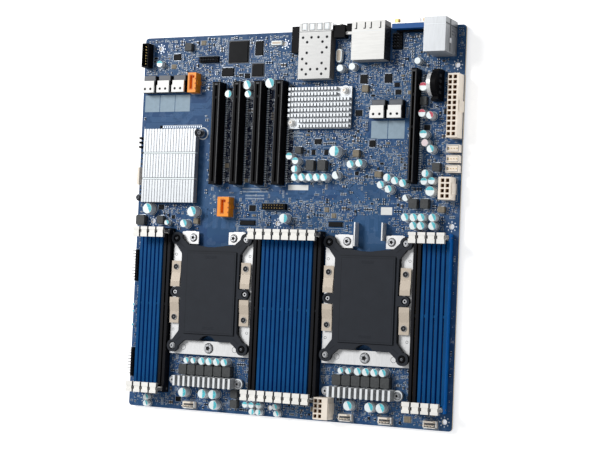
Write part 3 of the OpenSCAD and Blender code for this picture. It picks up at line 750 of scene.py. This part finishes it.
def add_chokes():
    """Pressed ferrite blocks with cut corners, feet and bright end terminals."""
    chokes = Batch("choke_blocks", "chokes", replaces=("chokes",))
    for b in islands("chokes"):
        (x0, y0, x1, y1), h = b.edges, b.z1
        cut = min(b.w, b.d) * 0.12
        body = "tan" if h < 4.7 else "ferrite"

        def ring(k, z):
            return [(x0 + cut, y0 + k, z), (x1 - cut, y0 + k, z), (x1 - k, y0 + cut, z),
                    (x1 - k, y1 - cut, z), (x1 - cut, y1 - k, z), (x0 + cut, y1 - k, z),
                    (x0 + k, y1 - cut, z), (x0 + k, y0 + cut, z)]

        chokes.solid(ring(0, 0.3), ring(0, h - 0.35), body)
        chokes.solid(ring(0, h - 0.35), ring(0.3, h), body)
        for side in (y0, y1):
            chokes.pad(b.x, side, b.w * 0.45, 0.6, h * 0.55, "tin")
            chokes.pad(b.x, side, b.w * 0.5, 1.8, 0.12, "tin")
    chokes.build()


def add_chips():
    """Moulded chip bodies with legs and a locating dot."""
    chips = Batch("chip_packages", "chips", replaces=("chips",))
    for b in islands("chips"):
        (x0, y0, x1, y1), w, d, h = b.edges, b.w, b.d, b.z1
        if min(w, d) > 11:  # ball grid: thin green-grey carrier under the mould
            chips.box(x0, y0, x1, y1, 0.5, "grey")
            chips.box(x0 + 0.6, y0 + 0.6, x1 - 0.6, y1 - 0.6, h - 0.5, "chip", z=0.5, inset=0.25)
        else:
            chips.box(x0 + 0.7, y0 + 0.7, x1 - 0.7, y1 - 0.7, h - 0.15, "chip", z=0.15, inset=0.18)
            for i in range(int((d - 1.6) / LEG_PITCH)):
                for side in (x0 + 0.35, x1 - 0.35):
                    chips.pad(side, y0 + 1 + i * LEG_PITCH, 0.7, 0.3, 0.25, "tin")
            if min(w, d) > 5.8:  # large enough for legs on all four sides
                for i in range(int((w - 1.6) / LEG_PITCH)):
                    for side in (y0 + 0.35, y1 - 0.35):
                        chips.pad(x0 + 1 + i * LEG_PITCH, side, 0.3, 0.7, 0.25, "tin")
        chips.turned(x0 + 1.7, y1 - 1.7, [(0.45, h + 0.01), (0, h + 0.01)], "resistor", 10)
    chips.build()


def dress_nodes():
    """Gives every CAD node that stays its own material."""
    plain = {"circuit_board": "board", "cpu_backplates": "backplate", "socket_frames": "frame",
             "cpu_sockets": "socket", "cpu_cover_left": "cover", "cpu_cover_right": "cover",
             "leaf_springs": "spring", "fasteners": "steel", "dimm_slots_blue": "dimm_blue",
             "dimm_slots_black": "dimm_black", "pcie_slots": "pcie", "chipset_heatsink": "fins",
             "network_heatsink": "fins", "vrm_heatsinks": "bar_fins", "sfp_cage": "cage",
             "lan_ports": "port", "lan_usb_stack": "stack",
             "power_connectors": "ivory", "battery_holder": "black", "coin_cell": "cell",
             "id_button": "white", "black_headers": "black", "sata_connectors": "orange"}
    for name, node in NODES.items():
        look = "latch" if name.startswith("latch") else plain.get(name)
        if look:
            node.material_slots[0].material = LOOKS[look]


# ---- details on the CAD parts

def plug_holes():
    """The holes of the two-row power plugs, from the middle and rows of each."""
    pitch = 4.2
    for x, y, rows in ((299.2, 262.3, 12), (295.9, 195.2, 4), (191.5, 11.2, 4)):
        for dx in spread(2, pitch):
            for dy in spread(rows, pitch):
                yield x + dx, y + dy


def add_power_contacts():
    """Copper terminals down in the power sockets, and the insides of the small white headers."""
    details = Batch("power_contacts", "power_connectors")
    for px, py in plug_holes():
        details.pad(px, py, 2.96, 2.96, 0.3, "hole", z=4.02)
        for sx, sy, dw, dd in ((-1, 0, 0.3, 2.9), (1, 0, 0.3, 2.9), (0, -1, 2.3, 0.3), (0, 1, 2.3, 0.3)):
            details.pad(px + sx * 1.33, py + sy * 1.33, dw, dd, 7.2, "copper", z=4.1)
        details.pad(px, py, 0.8, 1.4, 5, "copper", z=4.1)
    for b in islands("power_connectors"):
        cx, cy, w, d, h = b.x, b.y, b.w, b.d, b.z1
        if h < 10 and cy < 20:  # fan headers: lip in front, dark floor behind it
            details.pad(cx, cy - 0.4, w - 1.6, d - 2.6, 0.04, "grey", z=3)
            details.pad(cx, b.y0 + 0.4, w, 0.7, 1.4, "white", z=3)
            for side in (b.x0 + 0.35, b.x1 - 0.35):
                details.pad(side, cy, 0.7, d, 1.4, "white", z=3)
        elif h < 7:  # upright blocks with a sunken middle and four pins
            details.outline(*b.edges, 0.35, h + SKIN, "grey", -0.5)
            for i in range(4):
                details.pad(cx - 3.6 + i * 2.4, cy, 0.7, 0.7, 0.6, "gold", z=h)
            details.pad(b.x0 + 1.4, cy, 1.2, d * 0.4, 0.3, "grey", z=h)
    details.build()


def add_header_pins():
    """Pins of the black headers: bare ones on the low bases, sunken ones in the box header."""
    pins = Batch("header_pins", "black_headers")
    pitch = 2.54
    for b in islands("black_headers"):
        w, d, h = b.w, b.d, b.z1
        if h > 9.5 or (h > 5 and b.y1 > 330):
            continue
        margin = 1.6 if h > 8.8 else 0
        at_edge = w < 3
        z, rise, look = (2.5, 5, "gold") if margin else (h, 5.4, "dark_pin") if h < 3 else (h, 0.9, "gold")
        across, along = (spread(max(1, int((size - margin) / pitch)), pitch) for size in (w, d))
        for dx in across:
            for dy in along:
                px, py = b.x + dx, b.y + dy
                pins.pad(px, py, 0.64, 0.64, rise + (1.6 if at_edge else 0), look, z=z, inset=0.12)
                if h < 3 and not at_edge:  # notches between the pins of a base
                    pins.pad(px + pitch / 2, py, 0.25, 1.6, 0.04, "hole", z=h)
    pins.build()


def add_fasteners():
    """Studs, plastic plugs, screws, rivets and push pins, all as turned shapes."""
    parts = Batch("turned_fasteners", "fasteners", replaces=("fasteners",))
    for b in islands("fasteners"):
        x, y, r, top = b.x, b.y, b.w / 2, b.z1
        if top > 9:  # cooler studs; two corners of each socket carry a plastic plug over theirs
            cx, cy = min(CPU_CENTRES, key=lambda c: abs(c[0] - x))
            parts.turned(x, y, [(3.2, SEAT), (3.2, 4.7), (2.6, 4.7)], "steel")
            if (x - cx) * (y - cy) < 0:
                parts.turned(x, y, [(3.05, 4.8), (3.05, 8.6), (2.6, 9.1), (2.2, 9.1), (2, 8.3), (1.2, 8.3),
                                    (1.1, 9.4), (0.6, 9.5), (0, 9.5)],
                             ["black"] * 3 + ["hole"] * 3 + ["grey", "dark_pin"])
            else:
                thread = [(2.0 - 0.14 * (i % 2), 8.2 + 0.14 * i) for i in range(9)]
                parts.turned(x, y, [(2.6, 4.7), (2.75, 5), (2.75, 7.9), (2.5, 8.2)] + thread +
                             [(1.7, 9.6), (0.9, 9.6), (0.8, 9), (0, 9)],
                             ["steel"] * 14 + ["grey"] * 2)
        elif top > 7.6:  # rivets through the leaf springs, dark in the middle
            parts.turned(x, y, [(2.6, SEAT), (2.6, 6.4)], "steel")
            parts.turned(x, y, [(2.6, 7.05), (2.6, 7.6), (2.2, 7.85), (2, 7.5), (0.8, 7.5), (0.7, 7.8),
                                (0, 7.8)], ["steel"] * 2 + ["hole"] * 2 + ["grey"] * 2)
        elif b.z0 > 4:  # middle studs
            parts.turned(x, y, [(2, SEAT), (2, 7), (1.7, 7.4), (0.9, 7.4), (0.8, 6.8), (0, 6.8)],
                         ["steel"] * 3 + ["hole"] * 2)
        elif top > 6.9:  # push pins
            look = "white" if x > 100 else "dark_pin"
            parts.turned(x, y, [(1.6, 0), (1.6, 4), (3.1, 4), (3.1, 4.8), (2.2, 5), (2.2, 6.5), (1.7, 7),
                                (0.8, 7), (0.7, 6.3), (0, 6.3)],
                         [look] * 7 + ["grey" if look == "dark_pin" else "ivory"] * 2)
        elif top > 6.2:  # screws of the supply heatsinks
            parts.turned(x, y, [(1.5, 0), (1.5, 4.8), (2.6, 4.8), (2.6, 5.8), (2.1, 6.4), (1, 6.4), (0.9, 5.7),
                                (0, 5.7)], ["steel"] * 5 + ["hole"] * 2)
            parts.ring(x, y, 2.9, 0.5, 4.62, "grey", 24)
        else:  # screws of the frames, in a dark ring
            parts.turned(x, y, [(1.7, 0), (1.7, SEAT), (r, SEAT), (r, top - 0.5), (r * 0.85, top),
                                (r * 0.45, top), (r * 0.38, top - 0.7), (0, top - 0.7)],
                         ["steel"] * 5 + ["hole"] * 2)
            parts.ring(x, y, r + 0.1, 0.6, SEAT + SKIN, "hole", 28)
            for i in range(5):
                parts.strip([polar(x, y, r * k, math.tau * i / 5) for k in (0.4, 0.68)], 0.5, top + SKIN,
                            "hole")
    parts.build()


def add_cover_details():
    """Grooves and raised marks of the dust covers, each riding with its own cover."""
    flange = 8.5 + SKIN
    for side, (cx, cy) in zip(("left", "right"), CPU_CENTRES):
        grooves = Batch(f"cover_grooves_{side}", "cpu_covers", f"{side}_cover")
        lift = to_board(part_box(f"cpu_cover_{side}")[1])[2]
        plate = cx + 1.3 - 24.7, cy - 35.7, cx + 1.3 + 24.7, cy + 35.7
        grooves.outline(*plate, 0.5, flange, "cover_line", 0.5)
        grooves.outline(*plate, 0.3, lift + SKIN, "cover_line", -1.2)
        for y in (cy + 31, cy - 30.5):  # finger ribs
            for i in range(3):
                grooves.pad(cx + 1.3, y + i * 0.9 - 0.9, 11, 0.35, 0.12, "cover", z=lift, inset=0.08)
        for sx in (-1, 1):
            for sy in (-1, 1):
                grooves.strip([(cx + sx * 26, cy + sy * 39), (cx + sx * 31, cy + sy * 43)], 0.5, flange,
                              "cover_line")
        grooves.build()


def add_sas_shells():
    """Storage connectors: white shell in front, grey plastic behind, and a black block beside each, painted
    shadow in the gap between them.
    """
    shells = Batch("storage_shells", "sas_connectors", replaces=("sas_connectors",))
    for b in islands("sas_connectors"):
        x, y = b.x0, b.y0
        for x0, y0, x1, y1, z0, z1, look in (
                (0, 0, 12.4, 6.4, 6.8, 8.4, "white"), (0, 0, 1.2, 6.4, 0, 6.8, "grey"),
                (11.2, 0, 12.4, 6.4, 0, 6.8, "grey"), (1.2, 0, 11.2, 10, 0, 1.4, "grey"),
                (0.4, 6.4, 12, 10.6, 6.8, 7.6, "white"), (0.4, 6.4, 1.2, 10.6, 0, 6.8, "grey"),
                (11.2, 6.4, 12, 10.6, 0, 6.8, "grey"), (0.6, 10.6, 12.2, 15.4, 0, 5.6, "grey"),
                (1.2, 10, 11.2, 10.6, 1.4, 6.8, "black"), (12.4, 0.4, 13, 15, 0, 5.4, "black")):
            shells.box(x + x0, y + y0, x + x1, y + y1, z1 - z0, look, z=z0)
        for hx in (3.4, 9):
            shells.turned(x + hx, y + 3.2, [(1.15, 8.44), (0, 8.44)], "hole", 16)
        for i in range(8):  # contacts in the mouth
            shells.pad(x + 2.4 + i * 1.05, y + 5.5, 0.4, 7, 0.25, "dark_pin", z=1.4)
        shells.outline(x + 0.9, y + 10.9, x + 11.9, y + 15.1, 0.3, 5.6 + SKIN, "dark_pin")
    shells.build()


def add_port_details():
    """Folds, slots, fingers and vents of the rear ports, and the video port itself."""
    port = Batch("port_details", "sfp_cage")
    top = 10
    for x, ys in ((3.6, (8, 35.2, 17)), (11.5, (8, 35.2)), (18, (8, 35.2)), (25.9, (8, 35.2, 26.2)),
                  (7.6, (3.9, 13, 22.1, 31.2)), (21.9, (3.9, 13, 22.1, 31.2))):
        for y in ys:  # painted shadow: a dark disc just under each vent of the cage, and a dark ring round the vent on top
            port.turned(158.8 + x, 287.5 + y, [(1.25, 9.36), (0, 9.36)], "hole", 16)
            port.ring(158.8 + x, 287.5 + y, 1, 0.22, top + SKIN, "dark_pin", 16)
    for i in range(4):  # spring fingers along the mouth
        x = 161 + i * 6.9
        port.outline(x, 328.6, x + 5.6, 335, 0.35, top + SKIN, "grey")
        port.pad(x + 2.8, 331.8, 3.8, 5.4, 0.28, "can", z=top, inset=0.5)
    port.strip([(159, 327.6), (188.2, 327.6)], 0.4, top + SKIN, "grey")
    port.box(188.4, 328.4, 189.7, 334.6, 9, "steel", z=1, inset=0.3)
    # Network ports: latch slots near the mouth, a seam, pins beside the cage
    top = 13.5
    for x in (212.6, 220.4, 225.8, 234.2):
        port.pad(x + 0.6, 330.4, 1.0, 5.0, SKIN, "hole", z=top)
        port.pad(x, 327.8, 2.0, 0.8, SKIN, "hole", z=top)
    port.strip([(209.4, 325.6), (238.2, 325.6)], 0.25, top + SKIN, "can")
    for i in range(7):
        port.pad(238.85, 303.6 + i * 4.4, 0.5, 1.0, 10, "dark_pin", z=1.6)
    port.pad(203, 326.1, 6.4, 2.4, 2.6, "white", z=3)
    # Oblong crystal beside the cage
    for r, z0, z1, look in ((2.9, 0, 1, "can"), (2.5, 1, 3.4, "can_top"), (1.7, 3.4, 3.45, "spring")):
        ring = [polar(193.4, 307.6 + side * 3.1, r, first + math.pi * i / 8)
                for side, first in ((1, 0), (-1, math.pi)) for i in range(9)]
        port.solid([(*p, z0) for p in ring], [(*p, z1) for p in ring], look)
    # Port stack: seams, a side tab and pressed springs
    top = 28
    port.strip([(279, 326), (296.6, 326)], 0.3, top + SKIN, "can")
    port.box(297.1, 312, 297.7, 316, 4, "steel", z=15, inset=0.15)
    port.box(297.1, 326.5, 297.6, 327.2, 26, "dark_pin", z=1)
    port.box(297.1, 305.5, 297.5, 331.5, 0.4, "dark_pin", z=16.6)
    for i in range(3):
        port.box(297.1, 319 + i * 2.6, 297.5, 320.4 + i * 2.6, 9, "grey", z=4, inset=0.1)
    port.build()
    video = Batch("video_port", "vga_port", replaces=("vga_port",))
    x = 259.4
    video.box(x - 15.4, 326.4, x + 15.4, 331, 12.2, "vga_blue", inset=0.3)
    video.box(x - 13.4, 325.2, x + 13.4, 326.4, 6, "black")
    rim = [(-8.4, 10.4), (8.4, 10.4), (7, 2), (-7, 2)]
    for (xa, za), (xb, zb) in zip(rim, rim[1:] + rim[:1]):  # D-shaped shell round the face
        inner = [(x + px * 0.93, 6.2 + (pz - 6.2) * 0.86) for px, pz in ((xa, za), (xb, zb))]
        shell = [(x + xa, za), (x + xb, zb), *inner[::-1]]
        video.solid([(px, 331, pz) for px, pz in shell], [(px, 336, pz) for px, pz in shell], "steel")
    video.box(x - 7, 331, x + 7, 335, 6.4, "vga_blue", z=3)
    for row in range(3):
        for i in range(5):
            video.turned(x - 4.6 + i * 2.3 + (row % 2) * 0.6, 4.2 + row * 2,
                         [(0.45, 335.05), (0, 335.05)], "hole", 8, axis="Y")
    for side in (-12.5, 12.5):
        video.turned(x + side, 6.2, [(2.7, 331), (2.7, 335.4), (1.6, 335.5), (1.5, 333), (0, 333)],
                     ["gold", "gold", "gold", "hole"], 6, axis="Y")
    video.box(x - 15.3, 330.8, x + 15.3, 331.4, 12, "steel", z=0.3)
    video.build()


def add_board_details():
    """Edge combs, label, sockets' corner marks, orange slots' rims and other small moulded bits."""
    bits = Batch("moulded_bits", "black_headers")
    # Comb of pads behind the chipset heatsink
    bits.pad(20.4, 249.3, 1.6, 2.4, 1.2, "black")
    bits.strip([(22, 250.6), (62, 250.6)], 0.4, SKIN, "ring_ink")
    for i in range(20):
        bits.pad(22.6 + i * 2.05, 249.2, 1.15, 1.5, 0.3, "tin")
    webs = Batch("fin_webs", "chipset_heatsink")
    for i in range(18):
        x = 7.6 + i * 2.85 + 1.9
        for y0, y1 in ((181.7, 201.6), (203.4, 224.4), (226.2, 246.5)):
            webs.box(x, y0, x + 0.95, y1, 4.15, "fins", z=3.4, inset=0.01)
    # Pale bars in the cross grooves, a painted highlight for the lit groove floor
    for y in (202.5, 225.3):
        webs.box(7.6, y - 0.6, 60.8, y + 0.6, 4, "can_top", z=3.4, inset=0.1)
    webs.build()
    bits.box(128.2, 318.6, 138.8, 323, 2.6, "can_top", inset=0.5)
    bits.box(129.4, 319.8, 137.6, 321.8, 0.1, "spring", z=2.6)
    # Things along the left edge
    bits.box(0.6, 197, 3.4, 213, 6, "ivory", inset=0.3)
    for y in (231, 235, 239):
        bits.pad(2.4, y, 3, 2.2, 5.5, "black", inset=0.2)
    for y in (216, 221, 226, 191, 194.5):
        bits.pad(2.6, y, 1.8, 1.6, 3, "dark_pin", inset=0.2)
    for y in (72, 84, 90):
        bits.turned(2.2, y, [(1.1, 0), (1.1, 3.4), (0.9, 3.6), (0, 3.6)], ["white", "white", "mark_cyan"], 12)
    for b in islands("sata_connectors"):
        (x0, y0, x1, y1), mid = b.edges, b.x
        bits.outline(mid - 2.7, y0 + 2.3, mid + 1.1, y1 - 1.7, 0.5, 9 + SKIN, "rust")
        for i in range(3):
            bits.pad(x1 - 0.5, y0 + 3.5 + i * 4.2, 1.1, 1.4, 0.1, "rust", z=9 - 0.05)
        for i in range(7):
            bits.pad(mid + 0.9, y0 + 4 + i * 1.27, 0.5, 0.5, 6, "tin", z=2)
        bits.pad(x1 + 0.4, b.y, 0.8, 3, 7, "orange")
    for b in islands("pcie_slots"):  # painted highlights along the upper edges beside the groove, and on the end lips
        for left, right in ((b.x0 + 0.8, b.x0 + 1.3), (b.x1 - 1.6, b.x1 - 0.9)):
            bits.box(left, b.y0 + 1, right, b.y1 - 1, 0.04, "highlight_and_mark_grey", z=b.z1)
        bits.pad(b.x, b.y1 - 2.2, 3.4, 1.6, 0.3, "highlight_and_mark_grey", z=b.z1, inset=0.3)
    for cx, cy in CPU_CENTRES:  # pressed rings on the frames
        for sx in (-25.5, 25.5):
            bits.ring(cx + sx, cy - 48, 2.2, 0.35, SEAT + SKIN, "grey", 24)
        for sx, sy in ((-36.6, 33), (36.6, 33), (-36.6, -33), (36.6, -33), (-36.6, 8), (36.6, -8)):
            bits.ring(cx + sx, cy + sy, 0.9, 0.3, SEAT + SKIN, "hole", 16)
    # Solder tails in rows beside the expansion slots, and to the right of the left slots a dark strip of
    # painted shadow
    for b in islands("pcie_slots"):
        if b.x1 < 200:
            bits.box(b.x1 + 0.2, b.y0 + 2, b.x1 + 6.4, b.y1 - 4, SKIN * 0.8, "painted_slot_shadow")
        for i in range(int((b.d - 4) / 2)):
            y = b.y0 + 2 + i * 2
            bits.turned(b.x1 + 1.5, y, [(0.6, 0.1), (0.3, 0.5), (0, 0.5)], "can_top", 6)
    # Marks on the cell's holder
    for i in range(4):
        bits.box(287.5, 272 + i * 4.6, 287.7, 274.4 + i * 4.6, 5, "highlight_and_mark_grey", z=7)
    for y in (271, 276.4, 283.2, 288.6):
        bits.pad(284.4, y, 1.6, 1.2, 0.25, "highlight_and_mark_grey", z=14)
    bits.build()


def add_underside(chance):
    """Solder joints, prongs and the small parts on the lower face, and the sockets' plate marks."""
    joints = Batch("solder_joints", "circuit_board")
    under = -BOARD_T

    def joint(x, y, r=0.5, h=0.9):
        joints.turned(x, y, [(r, under), (r * 0.55, under - h * 0.5), (0.12, under - h), (0, under - h)],
                      "tin", 6)

    for name in ("dimm_slots_blue", "dimm_slots_black", "pcie_slots"):
        for b in islands(name):
            for i in range(int((b.d - 6) / 1.7)):
                for side in (-1.9, -0.6, 0.6, 1.9):
                    joint(b.x + side, b.y0 + 3 + i * 1.7 + (0.85 if side > 0 else 0), 0.36, 0.7)
    for x, y in plug_holes():
        joint(x, y, 1.1, 1.4)
    for name, step in (("capacitors", 1.2), ("power_connectors", 0), ("sata_connectors", 0)):
        for b in islands(name):
            if step:
                joint(b.x - step, b.y, 0.7, 0.9)
                joint(b.x + step, b.y, 0.7, 0.9)
            elif b.z1 < 10:
                for along in spread(4, 2.2):
                    joint(*((b.x + along, b.y) if b.w > b.d else (b.x, b.y + along)), 0.6, 1)
    for x0, x1, y0, y1, step in ((162, 186, 292, 330, 3), (211, 237, 303, 316, 2), (281, 295, 306, 320, 2),
                                 (248, 271, 321, 326, 2.3)):
        for i in range(int((x1 - x0) / step)):
            for j in range(int((y1 - y0) / step)):
                joint(x0 + i * step, y0 + j * step, 0.5, 0.9)
    for x, y in ((63.3, 243), (3.2, 185.6), (152.2, 250.8), (201, 277.6)):
        joints.turned(x, y, [(1.6, under), (1.9, under - 0.8), (1.2, under - 2), (0, under - 2)], "white", 12)
    for cx, cy in CPU_CENTRES:  # screw ends in the stiffening plate, and a seam round its film
        for x, y in ((-34.3, 47), (34.3, 47), (-34.3, -47), (34.3, -47), (-34.5, 0), (34.5, 0)):
            joints.turned(cx + x, cy + y, [(2.6, -4.58), (2.4, -4.59), (1.4, -4.59), (1.3, -4.4), (0, -4.4)],
                          ["steel", "steel", "hole", "hole"], 18)
        joints.outline(cx - 29, cy - 40, cx + 29, cy + 40, 0.4, -4.6, "hole")
    taken = [(cx - 42, cy - 57, cx + 42, cy + 57) for cx, cy in CPU_CENTRES]
    for _ in range(900):
        x, y = chance.uniform(8, BOARD_W - 8), chance.uniform(160, BOARD_D - 8)
        if any(x0 < x < x1 and y0 < y < y1 for x0, y0, x1, y1 in taken):
            continue
        wide = chance.random() < 0.5
        w, d = (1.6, 0.8) if wide else (0.8, 1.6)
        joints.pad(x, y, w, d, -0.7, chance.choice(("ceramic", "resistor")), z=under)
        for side in (-0.75, 0.75):
            joints.pad(x + side if wide else x, y if wide else y + side, 0.4 if wide else 0.85,
                       0.85 if wide else 0.4, -0.75, "tin", z=under)
    joints.build()


def add_slot_contacts():
    """Rows of contacts along the grooves of the memory and expansion slots."""
    rows = Batch("slot_contacts", "fasteners")
    for name, pitch, side in (("dimm_slots_blue", 0.85, 0.62), ("dimm_slots_black", 0.85, 0.62),
                              ("pcie_slots", 1.0, 0.8)):
        for b in islands(name):
            trim, depth = (8, 5) if name.startswith("dimm") else (4, 7)
            count = int((b.d - 2 * trim) / pitch)
            for i in range(count):
                y = b.y0 + trim + i * pitch
                for s in (-side, side):
                    rows.pad(b.x + s, y, 0.22, 0.36, depth - 1.8, "gold", z=2)
            if name == "pcie_slots":  # feet soldered beside the slot
                for i in range(count // 2):
                    y = b.y0 + trim + i * 2 * pitch
                    rows.pad(b.x1 + 0.25, y, 0.7, 0.7, 0.35, "tin")
    rows.build()


random.seed(7)
LOOKS = make_materials()
add_camera()
add_studio()
dress_nodes()
PLACES = map_parts()
add_small_parts(PLACES, random.Random(11))
add_copper(PLACES, random.Random(12))
add_traces(random.Random(13))
add_ink()
add_capacitors()
add_chokes()
add_chips()
add_power_contacts()
add_header_pins()
add_slot_contacts()
add_fasteners()
add_cover_details()
add_sas_shells()
add_port_details()
add_board_details()
add_underside(random.Random(14))
